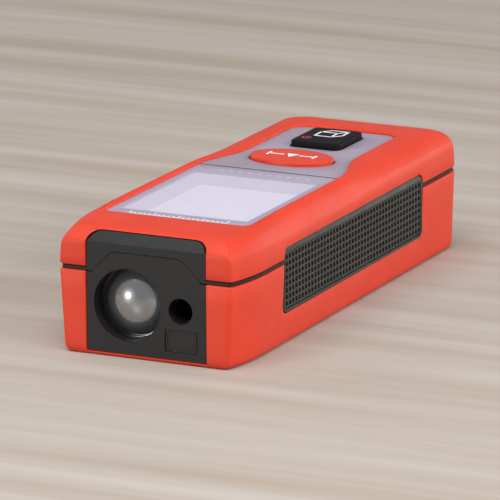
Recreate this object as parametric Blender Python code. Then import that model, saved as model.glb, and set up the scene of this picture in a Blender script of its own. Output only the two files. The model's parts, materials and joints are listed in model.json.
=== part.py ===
"""Pocket laser distance meter, modelled piece by piece.

The lens end faces -Y, the long axis is Y and +Z is up. The origin is at the
bottom centre of the object. Dimensions are written in millimetres, measured
from the front face along Y, from the centre plane along X and from the
underside along Z; point() turns them into metres in the part's own frame.
"""

import math

import bmesh
import bpy
from mathutils import Vector

MM = 0.001

# Housing, outside
LENGTH = 103.0
HALF_WIDTH = 19.4
SIDE_TAPER = 0.45          # how much narrower each side is at the rear
FLARE = 1.5                # the sides bow outwards by this much behind the front face
FLARE_LENGTH = 10.5
FLARE_STEPS = 5
FRONT_CORNER = 0.9
REAR_CORNER = 7.0
LOWER_TOP = 15.79          # upper edge of the lower overmould
UPPER_BOTTOM = 16.69       # lower edge of the upper overmould
GAP = 0.2                  # between neighbouring pieces
RUNNING_GAP = 0.3          # around a piece that moves

# Case halves
CASE_INSET = 1.1
WALL_INSET = 2.4
CASE_FLOOR = 1.0
CASE_FLOOR_TOP = 2.6
DECK_BOTTOM = 21.2
DECK_TOP = 22.7

# Bezel, the black area of the front face
BEZEL_FACE = 0.3
BEZEL_BACK = 2.6
BEZEL_HALF_WIDTH = 12.2
BEZEL_BOTTOM = 0.8
BEZEL_BEND = 21.55         # height where the sloping top edge starts
BEZEL_TOP = 23.35
TOWER_TOP = 19.9
TOWER_HALF_WIDTH = 11.0
TOWER_TOP_HALF_WIDTH = 6.6
RELIEF_DEPTH = 0.25

# Optics
LENS_X = -3.9
LASER_X = 7.0
OPTIC_Z = 10.1
LENS_OPENING = 6.9
LASER_OPENING = 2.46

# Window and keypad, on the top
PANEL_TOP = 24.0
PANEL_THICKNESS = 1.0
WINDOW_FRONT = 12.5
WINDOW_REAR = 52.8
WINDOW_HALF_WIDTH = 14.8
KEYPAD_REAR = 88.5
KEYPAD_HALF_WIDTH = 11.2
KEYPAD_BEND_END = 68.0     # the panel has finished narrowing here
SHOULDER_START = 50.0      # the rim starts to drop here
RIM_TOP = 24.6
MEASURE_TOP = 24.9
MODE_TOP = 25.2
FLANGE_BOTTOM = 20.1
FLANGE_TOP = 20.9
FLANGE_LIP = 0.8
MEASURE_Y = 63.05
MEASURE_RADII = (8.54, 5.23)
MODE_Y = 78.9
MODE_HALF = (5.2, 6.1)
MODE_CORNER = 1.3

# Side grips
GRIP_FRONT = 19.2
GRIP_REAR = 82.2
GRIP_BOTTOM = 6.25
GRIP_TOP = 18.65
GRIP_INNER = 18.15
GRIP_OUTER = 18.9
GRIP_CORNER = 1.6

# Electronics
BOARD_BOTTOM = 17.2
BOARD_TOP = 18.2
BOARD_HALF_WIDTH = 11.9
BOARD_FRONT = 7.0
BOARD_REAR = 98.0
BOARD_SCREW = (10.2, 94.5)

# Battery bay
CELL_RADIUS = 5.25
CELL_LENGTH = 43.7
CELL_NUB = 0.8
CELL_X = 5.6
CELL_Z = 8.0
TRAY_HALF_WIDTH = 12.0
TRAY_FRONT = 45.0
TRAY_REAR = 97.4
TRAY_WALL = 1.0
TRAY_TOP = 14.6
COVER_FRONT = 46.8
COVER_HALF_WIDTH = 11.2
COVER_THICKNESS = 1.75
RAIL_BOTTOM = 1.1
RAIL_REACH = 0.7

# Case screws
SCREW_X = 14.4
SCREW_Y = (8.0, 88.0)
SCREW_HEAD = 1.8
SCREW_SHANK = 0.9


# ---------------------------------------------------------------- geometry

def point(x, y, z):
    """A place in the meter's own millimetres, as metres in the part's frame."""
    return Vector((x * MM, (y - LENGTH / 2) * MM, z * MM))


def arc(centre, radius, start, end, steps):
    """Points along a circular or elliptic arc, angles in degrees."""
    radius_u, radius_v = radius if isinstance(radius, tuple) else (radius, radius)
    points = []
    for step in range(steps + 1):
        angle = math.radians(start + (end - start) * step / steps)
        points.append((centre[0] + radius_u * math.cos(angle),
                       centre[1] + radius_v * math.sin(angle)))
    return points


def ellipse(centre, radius, steps):
    return arc(centre, radius, 0, 360, steps)[:-1]


def rectangle(low, high):
    return [(low[0], low[1]), (high[0], low[1]), (high[0], high[1]), (low[0], high[1])]


def rounded_rectangle(low, high, radius, steps=3):
    corners = [((high[0] - radius, low[1] + radius), -90),
               ((high[0] - radius, high[1] - radius), 0),
               ((low[0] + radius, high[1] - radius), 90),
               ((low[0] + radius, low[1] + radius), 180)]
    points = []
    for centre, start in corners:
        points += arc(centre, radius, start, start + 90, steps)
    return points


def mirrored(half):
    """A whole outline from its +X half, given front to rear."""
    return half + [(-x, y) for x, y in reversed(half)]


def housing_outline(side, front, rear):
    """Plan outline of the housing, moved inwards by the three insets."""
    corner_x = HALF_WIDTH - FLARE - side
    half = arc((corner_x - FRONT_CORNER, front + FRONT_CORNER), FRONT_CORNER, -90, 0, 4)
    for step in range(1, FLARE_STEPS + 1):
        along = step / FLARE_STEPS
        half.append((HALF_WIDTH - side - FLARE * (1 - along) ** 2,
                     front + FRONT_CORNER + along * FLARE_LENGTH))
    radius = max(REAR_CORNER - side, 2.0)
    taper_start = FRONT_CORNER + FLARE_LENGTH
    for y in (SHOULDER_START, (SHOULDER_START + KEYPAD_BEND_END) / 2, KEYPAD_BEND_END):
        taper = SIDE_TAPER * (y - taper_start) / (LENGTH - REAR_CORNER - taper_start)
        half.append((HALF_WIDTH - side - taper, y))
    rear_centre = (HALF_WIDTH - SIDE_TAPER - side - radius, LENGTH - rear - radius)
    half += arc(rear_centre, radius, 0, 90, 8)
    return mirrored(half)


def panel_half_width(y, margin):
    """Half width of the top panel recess: it narrows in a soft S bend."""
    along = (y - WINDOW_REAR) / (KEYPAD_BEND_END - WINDOW_REAR)
    along = min(max(along, 0.0), 1.0)
    blend = along * along * (3 - 2 * along)
    return WINDOW_HALF_WIDTH + (KEYPAD_HALF_WIDTH - WINDOW_HALF_WIDTH) * blend + margin


def keypad_outline(front, margin):
    """The keypad end of the panel, from the given front edge to the rear."""
    bend = [WINDOW_REAR + (KEYPAD_BEND_END - WINDOW_REAR) * step / 5 for step in range(1, 6)]
    half = [(panel_half_width(y, margin), y) for y in [front] + bend]
    radius = 3.0
    centre = (KEYPAD_HALF_WIDTH + margin - radius, KEYPAD_REAR + margin - radius)
    return half + arc(centre, radius, 0, 90, 3)


def window_outline(margin):
    low = (-WINDOW_HALF_WIDTH - margin, WINDOW_FRONT - margin)
    high = (WINDOW_HALF_WIDTH + margin, WINDOW_REAR + margin)
    front = arc((high[0] - 1.5, low[1] + 1.5), 1.5, -90, 0, 3)
    return mirrored(front + [(high[0], high[1])])


def recess_outline(margin):
    corner = (WINDOW_HALF_WIDTH + margin - 1.5, WINDOW_FRONT - margin + 1.5)
    return mirrored(arc(corner, 1.5, -90, 0, 3) + keypad_outline(WINDOW_REAR, margin))


def tower_outline(margin, bottom):
    """The raised part of the lower bezel that stands over the lens."""
    side = TOWER_HALF_WIDTH + margin
    top_side = TOWER_TOP_HALF_WIDTH + margin
    return mirrored([(side, bottom), (side, UPPER_BOTTOM - 0.6), (top_side + 0.9, TOWER_TOP - 0.35),
                     (top_side, TOWER_TOP + margin)])


# ---------------------------------------------------------------- objects

def clear_scene():
    for item in list(bpy.data.objects):
        bpy.data.objects.remove(item, do_unlink=True)


def material(name, colour, roughness, metallic=0.0, alpha=1.0, transmission=0.0):
    """A Principled material, made once and shared by name."""
    existing = bpy.data.materials.get(name)
    if existing:
        return existing
    made = bpy.data.materials.new(name)
    made.use_nodes = True
    shader = made.node_tree.nodes["Principled BSDF"]
    shader.inputs["Base Color"].default_value = (*colour, 1.0)
    shader.inputs["Roughness"].default_value = roughness
    shader.inputs["Metallic"].default_value = metallic
    shader.inputs["Alpha"].default_value = alpha
    shader.inputs["Transmission Weight"].default_value = transmission
    return made


def soft_red():
    return material("soft_red", (0.80, 0.075, 0.035), 0.55)


def black_plastic():
    return material("black_plastic", (0.035, 0.035, 0.033), 0.5)


def steel():
    return material("steel", (0.62, 0.62, 0.64), 0.3, metallic=1.0)


def clear_glass():
    return material("clear_glass", (0.9, 0.93, 0.95), 0.03, transmission=0.95)


def add_object(name, mesh_data, finish, origin=(0.0, LENGTH / 2, 0.0)):
    """Close a bmesh into a named object whose origin is at the given place."""
    base = point(*origin)
    bmesh.ops.recalc_face_normals(mesh_data, faces=mesh_data.faces)
    bmesh.ops.translate(mesh_data, verts=mesh_data.verts, vec=-base)
    mesh = bpy.data.meshes.new(name)
    mesh_data.to_mesh(mesh)
    mesh_data.free()
    mesh.shade_smooth()
    mesh.set_sharp_from_angle(angle=math.radians(30))
    item = bpy.data.objects.new(name, mesh)
    item.location = base
    bpy.context.scene.collection.objects.link(item)
    if finish:
        mesh.materials.append(finish)
    return item


def loft(rings, mesh_data=None):
    """Skin a stack of rings that all have the same number of points."""
    mesh_data = mesh_data or bmesh.new()
    stack = [[mesh_data.verts.new(place) for place in ring] for ring in rings]
    for lower, upper in zip(stack, stack[1:]):
        count = len(lower)
        for index in range(count):
            after = (index + 1) % count
            mesh_data.faces.new((lower[index], lower[after], upper[after], upper[index]))
    mesh_data.faces.new(list(reversed(stack[0])))
    mesh_data.faces.new(stack[-1])
    return mesh_data


def housing_rings(profile):
    """Rings of the housing outline from (z, side, front, rear) rows."""
    rings = []
    for z, side, front, rear in profile:
        rings.append([point(x, y, z) for x, y in housing_outline(side, front, rear)])
    return rings


def shoulder_rings(profile):
    """Rings whose height changes from the window to the keypad, where the rim is lower."""
    rings = []
    for window_z, keypad_z, side, front, rear in profile:
        ring = []
        for x, y in housing_outline(side, front, rear):
            along = min(max((y - SHOULDER_START) / (KEYPAD_BEND_END - SHOULDER_START), 0.0), 1.0)
            ring.append(point(x, y, window_z + (keypad_z - window_z) * along))
        rings.append(ring)
    return rings


def prism(outline, low, high, axis="Z", mesh_data=None):
    """Extrude an outline along an axis. Outlines are XY, XZ or YZ."""
    if axis == "Z":
        rings = [[point(u, v, level) for u, v in outline] for level in (low, high)]
    elif axis == "Y":
        rings = [[point(u, level, v) for u, v in outline] for level in (low, high)]
    else:
        rings = [[point(level, u, v) for u, v in outline] for level in (low, high)]
    return loft(rings, mesh_data)


def box(low, high, mesh_data=None):
    return prism(rectangle(low[:2], high[:2]), low[2], high[2], mesh_data=mesh_data)


def turned(profile, centre, axis="Z", steps=20, mesh_data=None):
    """A solid of revolution from (radius, distance along the axis) rows."""
    rings = []
    for radius, along in profile:
        ring = []
        for u, v in ellipse(centre, radius, steps):
            ring.append(point(u, v, along) if axis == "Z" else point(u, along, v))
        rings.append(ring)
    return loft(rings, mesh_data)


def turned_ring(outer, inner, low, high, centre, axis="Y", steps=24):
    """A plain tube with square ends."""
    mesh_data = bmesh.new()
    corners = ((outer, low), (outer, high), (inner, high), (inner, low))
    stack = []
    for radius, along in corners:
        ring = []
        for u, v in ellipse(centre, radius, steps):
            place = point(u, v, along) if axis == "Z" else point(u, along, v)
            ring.append(mesh_data.verts.new(place))
        stack.append(ring)
    for first, second in zip(stack, stack[1:] + stack[:1]):
        for index in range(steps):
            after = (index + 1) % steps
            mesh_data.faces.new((first[index], first[after], second[after], second[index]))
    return mesh_data


def shape(target, tool_name, tool_mesh, operation):
    """Cut or join a hidden tool solid with a target object."""
    tool = bpy.data.objects.get(tool_name) or add_object(tool_name, tool_mesh, None)
    tool.hide_render = True
    tool.display_type = "WIRE"
    step = target.modifiers.new(tool_name, "BOOLEAN")
    step.operation = operation
    step.solver = "EXACT"
    step.object = tool
    return tool


def cut(target, tool_name, tool_mesh=None):
    return shape(target, tool_name, tool_mesh, "DIFFERENCE")


def join(target, tool_name, tool_mesh=None):
    return shape(target, tool_name, tool_mesh, "UNION")


# ---------------------------------------------------------------- housing

def screw_places():
    return [(side * SCREW_X, y) for y in SCREW_Y for side in (-1, 1)]


def cylinders(places, profile, steps=16):
    """Several upright turned solids in one mesh."""
    mesh_data = bmesh.new()
    for place in places:
        turned(profile, place, steps=steps, mesh_data=mesh_data)
    return mesh_data


def cut_grip_pockets(target):
    """Both side pockets, through the overmoulds and into the case wall."""
    if "grip_pockets" in bpy.data.objects:
        cut(target, "grip_pockets")
        return
    outline = rounded_rectangle((GRIP_FRONT - GAP, GRIP_BOTTOM - GAP),
                                (GRIP_REAR + GAP, GRIP_TOP + GAP), GRIP_CORNER)
    pockets = bmesh.new()
    for side in (-1, 1):
        near, far = sorted((side * (GRIP_INNER - GAP), side * (HALF_WIDTH + 2)))
        prism(outline, near, far, "X", pockets)
    cut(target, "grip_pockets", pockets)


def make_lower_case():
    """Black lower half: floor, walls, screw bosses and most of the bezel."""
    profile = [(CASE_FLOOR_TOP, 3.1, WALL_INSET, WALL_INSET),
               (LOWER_TOP - 0.04, WALL_INSET, WALL_INSET, WALL_INSET),
               (LOWER_TOP - 0.04, CASE_INSET, CASE_INSET, CASE_INSET),
               (2.0, 1.85, CASE_INSET, CASE_INSET),
               (CASE_FLOOR, 2.6, 1.8, 1.8)]
    case = add_object("lower_case", loft(housing_rings(profile)), black_plastic())

    bezel = tower_outline(0.0, LOWER_TOP - 0.04)
    half = [(BEZEL_HALF_WIDTH, BEZEL_BOTTOM), (BEZEL_HALF_WIDTH, LOWER_TOP - 0.04)] + bezel[:4]
    join(case, "lower_bezel", prism(mirrored(half), BEZEL_FACE, BEZEL_BACK, "Y"))
    boss = [(2.3, CASE_FLOOR_TOP - 0.7), (2.3, LOWER_TOP - 0.09)]
    join(case, "lower_bosses", cylinders(screw_places(), boss))

    cut(case, "lens_opening", turned([(LENS_OPENING, -1), (LENS_OPENING, 3.5)],
                                     (LENS_X, OPTIC_Z), "Y", 72))
    cut(case, "laser_opening", turned([(LASER_OPENING, -1), (LASER_OPENING, 3.5)],
                                      (LASER_X, OPTIC_Z), "Y", 48))
    cut(case, "relief_pocket", prism(rounded_rectangle((3.7, 2.2), (10.4, 6.5), 0.4, 2),
                                     -1, BEZEL_FACE + RELIEF_DEPTH, "Y"))
    hole = [(2.1, -0.5), (2.1, 2.6), (1.15, 2.61), (1.15, 17.0)]
    cut(case, "case_screw_holes", cylinders(screw_places(), hole))
    cut_grip_pockets(case)

    opening = COVER_HALF_WIDTH + GAP
    cut(case, "cell_opening", box((-opening, COVER_FRONT - GAP, 0), (opening, 98.4, 3.5)))
    rail = opening + RAIL_REACH
    cut(case, "cover_rail_way", box((-rail, COVER_FRONT - GAP, 0.5), (rail, 110, 2.05)))
    return case


def make_upper_case():
    """Black upper half: parting strip, walls, deck and the top of the bezel."""
    strip_low, strip_high = LOWER_TOP + 0.16, UPPER_BOTTOM - 0.19
    profile = [(DECK_BOTTOM, 3.3, WALL_INSET, 3.4),
               (strip_low, WALL_INSET, WALL_INSET, WALL_INSET),
               (strip_low, 0.35, 0.35, 0.35),
               (strip_high, 0.35, 0.35, 0.35),
               (strip_high, CASE_INSET, CASE_INSET, CASE_INSET),
               (20.2, 1.35, CASE_INSET, 1.2),
               (21.5, 2.2, 1.25, 2.3),
               (DECK_TOP, 3.6, 3.3, 4.4)]
    case = add_object("upper_case", loft(housing_rings(profile)), black_plastic())

    half = [(BEZEL_HALF_WIDTH, strip_low), (BEZEL_HALF_WIDTH - 0.1, BEZEL_BEND)]
    half += arc((9.4, BEZEL_TOP - 1.9), (2.5, 1.9), 15, 90, 3)
    join(case, "upper_bezel", prism(mirrored(half), BEZEL_FACE, BEZEL_BACK, "Y"))
    slope = [(-1, BEZEL_BEND), (BEZEL_FACE, BEZEL_BEND), (BEZEL_FACE + 1.7, BEZEL_TOP),
             (BEZEL_FACE + 1.7, 26), (-1, 26)]
    cut(case, "bezel_slope", prism(slope, -15, 15, "X"))
    cut(case, "tower_clearance", prism(tower_outline(0.12, 15.0), -1, BEZEL_BACK + GAP, "Y"))
    boss = [(2.1, LOWER_TOP + 0.11), (2.1, DECK_BOTTOM + 0.5)]
    join(case, "upper_bosses", cylinders(screw_places(), boss))
    board_places = [(side * BOARD_SCREW[0], BOARD_SCREW[1]) for side in (-1, 1)]
    join(case, "board_bosses", cylinders(board_places, [(1.6, BOARD_TOP + GAP),
                                                        (1.6, DECK_BOTTOM + 0.5)]))
    cut(case, "case_screw_pilots", cylinders(screw_places(), [(1.05, 15.0), (1.05, 20.6)]))
    cut(case, "board_screw_pilots", cylinders(board_places, [(0.75, 17.0), (0.75, 21.0)]))
    cut(case, "display_opening", box((-13.2, 15.6, 20), (13.2, 47.0, 24)))
    radii = tuple(radius + RUNNING_GAP for radius in MEASURE_RADII)
    cut(case, "measure_hole", prism(ellipse((0, MEASURE_Y), radii, 32), 20, 24))
    cut(case, "mode_hole", prism(mode_outline(RUNNING_GAP), 20, 24))
    cut_grip_pockets(case)
    return case


def make_lower_overmould():
    """Red soft skin over the sides and underside of the lower half."""
    profile = [(0.8, 2.3, 1.55, 1.55),
               (2.0, 1.62, 0.85, 0.85),
               (LOWER_TOP, 0.85, 0.85, 0.85),
               (LOWER_TOP, 0.05, 0.0, 0.0),
               (1.3, 0.85, 0.0, 0.0),
               (0.5, 1.1, 0.15, 0.3),
               (0.0, 1.8, 0.6, 0.9)]
    skin = add_object("lower_overmould", loft(housing_rings(profile)), soft_red())
    side = BEZEL_HALF_WIDTH + 0.15
    cut(skin, "lower_bezel_opening", box((-side, -1, 0.65), (side, 1.8, 17)))
    cut(skin, "overmould_screw_holes", cylinders(screw_places(), [(2.1, -1), (2.1, 1.4)]))
    opening = COVER_HALF_WIDTH + GAP
    cut(skin, "cover_opening", box((-opening, COVER_FRONT - GAP, -1), (opening, 110, 2.0)))
    rail = opening + RAIL_REACH
    cut(skin, "cover_rail_exit", box((-rail, LENGTH - 5, 0.95), (rail, 110, 2.05)))
    cut_grip_pockets(skin)
    return skin


def make_upper_overmould():
    """Red soft skin over the upper half: sides, shoulder and rim."""
    profile = [(22.9, 22.9, 3.3, 3.2, 4.0),
               (21.6, 21.6, 1.9, 0.95, 1.9),
               (20.2, 20.2, 1.1, 0.85, 0.9),
               (UPPER_BOTTOM, UPPER_BOTTOM, 0.85, 0.85, 0.85),
               (UPPER_BOTTOM, UPPER_BOTTOM, 0.0, 0.0, 0.0),
               (20.2, 20.2, 0.25, 0.0, 0.1),
               (21.45, 21.6, 0.65, 0.05, 0.6),
               (22.3, 22.25, 1.1, 0.7, 1.4),
               (23.05, 22.75, 1.5, 1.45, 2.2),
               (24.0, 23.38, 2.25, 2.5, 4.1),
               (24.45, 23.9, 3.2, 4.0, 6.6),
               (RIM_TOP, RIM_TOP, 6.5, 10.5, 11.5)]
    skin = add_object("upper_overmould", loft(shoulder_rings(profile)), soft_red())
    side = BEZEL_HALF_WIDTH + 0.15
    half = [(side, 15.0), (side, BEZEL_BEND)]
    half += arc((9.4, BEZEL_TOP - 1.8), (2.7, 1.95), 15, 90, 3)
    cut(skin, "upper_bezel_opening", prism(mirrored(half), -1, 4.0, "Y"))
    cut(skin, "panel_recess", prism(recess_outline(GAP), 22.0, 26))
    cut_grip_pockets(skin)
    return skin


def make_side_grips():
    """A ribbed insert in each side, standing across the parting strip."""
    outline = rounded_rectangle((GRIP_FRONT, GRIP_BOTTOM), (GRIP_REAR, GRIP_TOP), GRIP_CORNER)
    field = rounded_rectangle((GRIP_FRONT + 1.0, GRIP_BOTTOM + 1.0),
                              (GRIP_REAR - 1.0, GRIP_TOP - 1.2), 0.8, 2)
    rubber = material("grip_rubber", (0.06, 0.058, 0.05), 0.6)
    for name, side in (("side_grip_left", -1), ("side_grip_right", 1)):
        near, far = sorted((side * GRIP_INNER, side * GRIP_OUTER))
        grip = add_object(name, prism(outline, near, far, "X"), rubber)
        near, far = sorted((side * (GRIP_OUTER - 0.35), side * (GRIP_OUTER + 1)))
        cut(grip, name + "_field", prism(field, near, far, "X"))


# ---------------------------------------------------------------- top panel

def mode_outline(margin):
    """The mode button in plan: slightly wider towards the front."""
    across, along = MODE_HALF
    inner_x = across - MODE_CORNER
    half = arc((inner_x, MODE_Y - along + MODE_CORNER), MODE_CORNER + margin, -90, 0, 3)
    half += arc((inner_x, MODE_Y + along - MODE_CORNER), MODE_CORNER + margin, 0, 90, 3)
    return mirrored(half)


def make_window_and_panel():
    low = PANEL_TOP - PANEL_THICKNESS
    clear = material("window_plastic", (0.80, 0.78, 0.86), 0.08, alpha=0.5, transmission=0.6)
    add_object("display_window", prism(window_outline(0.0), low, PANEL_TOP), clear)
    lilac = material("panel_plastic", (0.36, 0.32, 0.38), 0.6)
    outline = mirrored(keypad_outline(WINDOW_REAR + GAP, 0.0))
    panel = add_object("keypad_panel", prism(outline, low, PANEL_TOP), lilac)
    cut(panel, "measure_hole")
    cut(panel, "mode_hole")


def make_buttons():
    """Each button has a body that fills its hole and a flange under the deck."""
    lip = tuple(radius + FLANGE_LIP for radius in MEASURE_RADII)
    shoulder = tuple(radius - 0.5 for radius in MEASURE_RADII)
    oval = [(lip, FLANGE_BOTTOM), (lip, FLANGE_TOP), (MEASURE_RADII, FLANGE_TOP),
            (MEASURE_RADII, MEASURE_TOP - 0.3), (shoulder, MEASURE_TOP)]
    rings = [[point(x, y, z) for x, y in ellipse((0, MEASURE_Y), radii, 32)] for radii, z in oval]
    red = material("button_red", (0.80, 0.06, 0.03), 0.4)
    add_object("measure_button", loft(rings), red, (0, MEASURE_Y, MEASURE_TOP))

    steps = [(FLANGE_LIP, FLANGE_BOTTOM), (FLANGE_LIP, FLANGE_TOP), (0.0, FLANGE_TOP),
             (0.0, MODE_TOP - 0.3), (-0.35, MODE_TOP)]
    rings = [[point(x, y, z) for x, y in mode_outline(margin)] for margin, z in steps]
    dark = material("button_black", (0.02, 0.02, 0.021), 0.45)
    add_object("mode_button", loft(rings), dark, (0, MODE_Y, MODE_TOP))


def make_display():
    glass = material("lcd_glass", (0.68, 0.67, 0.74), 0.15)
    add_object("lcd_panel", box((-14.2, 14.2, 19.6), (14.2, 50.0, 20.9)), glass)
    white = material("light_guide", (0.9, 0.9, 0.92), 0.4)
    add_object("lcd_backlight", box((-14.2, 14.2, 18.5), (14.2, 50.0, 19.4)), white)
    grey = material("frame_grey", (0.25, 0.25, 0.26), 0.6)
    frame = add_object("lcd_frame", box((-15.3, 13.1, 18.4), (15.3, 51.1, 20.9)), grey)
    cut(frame, "lcd_frame_opening", box((-14.4, 14.0, 17), (14.4, 50.2, 22)))


# ---------------------------------------------------------------- electronics

def make_electronics():
    green = material("board_green", (0.02, 0.16, 0.07), 0.5)
    low = (-BOARD_HALF_WIDTH, BOARD_FRONT, BOARD_BOTTOM)
    high = (BOARD_HALF_WIDTH, BOARD_REAR, BOARD_TOP)
    board = add_object("main_board", box(low, high), green)
    places = [(side * BOARD_SCREW[0], BOARD_SCREW[1]) for side in (-1, 1)]
    cut(board, "board_screw_holes", cylinders(places, [(0.95, 16), (0.95, 19)]))

    chip = material("chip_black", (0.03, 0.03, 0.03), 0.4)
    chip_low = BOARD_TOP + GAP
    add_object("processor", box((-3.5, 89.5, chip_low), (3.5, 96.5, 19.4)), chip)
    for name, y in (("measure_switch", MEASURE_Y), ("mode_switch", MODE_Y)):
        switch_low, switch_high = (-2.6, y - 2.6, chip_low), (2.6, y + 2.6, 18.9)
        add_object(name, box(switch_low, switch_high), steel())
    under = BOARD_BOTTOM - GAP
    add_object("shield_can", box((-8, 58, 15.2), (8, 75, under)), steel())
    buzzer = turned([(4.5, 15.1), (4.5, under)], (0, 86.0), steps=24)
    add_object("buzzer", buzzer, chip)
    screw = [(1.5, 16.0), (1.5, under), (0.6, under), (0.6, 20.4)]
    for number, place in enumerate(places, 1):
        add_object(f"board_screw_{number}", turned(screw, place, steps=12), steel())


# ---------------------------------------------------------------- optics

def make_receiver():
    """Chassis with its two bores, and what sits in the receiver's bore."""
    grey = material("chassis_alloy", (0.45, 0.45, 0.47), 0.45, metallic=0.8)
    chassis = add_object("optics_chassis", box((-11.7, 5.6, 2.8), (11.5, 43.0, 16.9)), grey)
    lens_axis, laser_axis = (LENS_X, OPTIC_Z), (LASER_X, OPTIC_Z)
    bore = [(6.3, 4), (6.3, 12), (3.6, 38), (2.6, 38.01), (2.6, 45)]
    cut(chassis, "receiver_bore", turned(bore, lens_axis, "Y", 24))
    cut(chassis, "laser_bore", turned([(3.15, 4), (3.15, 45)], laser_axis, "Y", 20))

    lens = [(7.1, 5.4), (7.1, 4.2), (6.5, 4.18)]
    for angle in (10, 30, 50, 68, 82):
        lens.append((6.55 * math.cos(math.radians(angle)),
                     4.15 - 3.1 * math.sin(math.radians(angle))))
    add_object("receiver_lens", turned(lens, lens_axis, "Y", 32), clear_glass())
    ring = turned_ring(7.4, 6.75, 2.85, 4.0, lens_axis, steps=32)
    add_object("lens_retainer", ring, black_plastic())
    amber = material("filter_glass", (0.35, 0.03, 0.03), 0.05, transmission=0.5)
    add_object("optical_filter", turned([(3.0, 36.4), (3.0, 37.2)], lens_axis, "Y", 16), amber)
    can = turned([(2.4, 38.3), (2.4, 43.4), (2.9, 43.4), (2.9, 44.0)], lens_axis, "Y", 16)
    add_object("receiver_sensor", can, steel())


def make_laser():
    axis = (LASER_X, OPTIC_Z)
    brass = material("brass", (0.75, 0.55, 0.25), 0.3, metallic=1.0)
    dark = material("black_anodised", (0.02, 0.02, 0.022), 0.5, metallic=0.5)
    add_object("laser_barrel", turned_ring(3.0, 2.35, 3.0, 22.0, axis, steps=28), dark)
    lens = [(2.15, 11.9), (2.15, 10.7), (1.6, 10.2), (0.7, 9.95)]
    add_object("collimator_lens", turned(lens, axis, "Y", 16), clear_glass())
    diode = turned([(1.9, 22.3), (1.9, 25.0), (2.9, 25.0), (2.9, 26.2)], axis, "Y", 16)
    add_object("laser_diode", diode, brass)


# ---------------------------------------------------------------- power

def helix(centre, start, end, radius, wire, turns):
    """A coil spring along Y, swept as a round wire."""
    steps_per_turn, wire_sides = 10, 6
    total = turns * steps_per_turn
    rings = []
    for step in range(total + 1):
        angle = 2 * math.pi * step / steps_per_turn
        along = start + (end - start) * step / total
        outwards = (math.cos(angle), math.sin(angle))
        ring = []
        for side in range(wire_sides):
            turn = 2 * math.pi * side / wire_sides
            reach = radius + wire * math.cos(turn)
            ring.append(point(centre[0] + reach * outwards[0],
                              along + wire * math.sin(turn),
                              centre[1] + reach * outwards[1]))
        rings.append(ring)
    return loft(rings)


def make_cells():
    """Two AAA cells side by side, the left one with its nub to the rear."""
    shell = material("cell_wrap", (0.55, 0.42, 0.12), 0.35, metallic=0.3)
    left_end, right_end = 50.8, 91.6
    for name, x, end, way in (("battery_1", -CELL_X, left_end, 1),
                              ("battery_2", CELL_X, right_end, -1)):
        rows = [(CELL_RADIUS - 0.4, 0), (CELL_RADIUS, 0.4), (CELL_RADIUS, CELL_LENGTH - 0.5),
                (CELL_RADIUS - 0.5, CELL_LENGTH), (1.9, CELL_LENGTH),
                (1.9, CELL_LENGTH + CELL_NUB)]
        rows = [(radius, end + way * along) for radius, along in rows]
        add_object(name, turned(rows, (x, CELL_Z), "Y", 24), shell)


def make_contacts():
    add_object("contact_spring_front",
               helix((-CELL_X, CELL_Z), 46.8, 50.1, 3.0, 0.3, 4), steel())
    add_object("contact_spring_rear",
               helix((CELL_X, CELL_Z), 92.3, 95.1, 3.0, 0.3, 4), steel())
    plate_low, plate_high = (2.0, 46.3, 4.0), (9.2, 46.7, 12.0)
    add_object("contact_plate_front", box(plate_low, plate_high), steel())
    bridge_low, bridge_high = (-9.2, 95.75, 4.0), (9.2, 96.15, 12.0)
    add_object("contact_bridge_rear", box(bridge_low, bridge_high), steel())


def make_battery_tray():
    """Box over the cells, open below, with a wall at each end."""
    low = (-TRAY_HALF_WIDTH, TRAY_FRONT, CASE_FLOOR_TOP + GAP)
    tray = add_object("battery_tray", box(low, (TRAY_HALF_WIDTH, TRAY_REAR, TRAY_TOP)),
                      black_plastic())
    inner = TRAY_HALF_WIDTH - 0.8
    cut(tray, "tray_pocket", box((-inner, TRAY_FRONT + TRAY_WALL, 0),
                                 (inner, TRAY_REAR - TRAY_WALL, TRAY_TOP - TRAY_WALL)))


def make_battery_cover():
    """Sliding cover: it forms the rear of the underside and runs on two rails."""
    edge = 1.2
    side_view = [(COVER_FRONT, 0.0)]
    side_view += arc((LENGTH - edge, edge), edge, -90, 0, 4)
    side_view += [(LENGTH, COVER_THICKNESS), (COVER_FRONT, COVER_THICKNESS)]
    plate = prism(side_view, -COVER_HALF_WIDTH, COVER_HALF_WIDTH, "X")
    cover = add_object("battery_cover", plate, soft_red(), (0, COVER_FRONT, 0))
    reach = COVER_HALF_WIDTH + RAIL_REACH - 0.05
    rail = box((-reach, COVER_FRONT + 0.2, RAIL_BOTTOM), (reach, LENGTH - 4, COVER_THICKNESS - 0.05))
    join(cover, "cover_rails", rail)


def make_case_screws():
    rows = [(SCREW_HEAD, 1.1), (SCREW_HEAD, 2.3), (SCREW_SHANK, 2.31), (SCREW_SHANK, 20.2)]
    for number, place in enumerate(screw_places(), 1):
        add_object(f"case_screw_{number}", turned(rows, place, steps=14), steel())


def main():
    clear_scene()
    make_upper_case()
    make_lower_case()
    make_lower_overmould()
    make_upper_overmould()
    make_side_grips()
    make_window_and_panel()
    make_buttons()
    make_display()
    make_electronics()
    make_receiver()
    make_laser()
    make_cells()
    make_contacts()
    make_battery_tray()
    make_battery_cover()
    make_case_screws()


main()
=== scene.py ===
"""Looks of a pocket laser distance meter: red soft-touch skins over a black case.

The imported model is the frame. Dimensions are in millimetres, measured from the
front face along Y, from the centre plane along X and from the underside along
Z, and they are read from the CAD nodes wherever a node gives them.
"""

import json
import math

import bmesh
import bpy
from mathutils import Matrix, Vector


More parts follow.
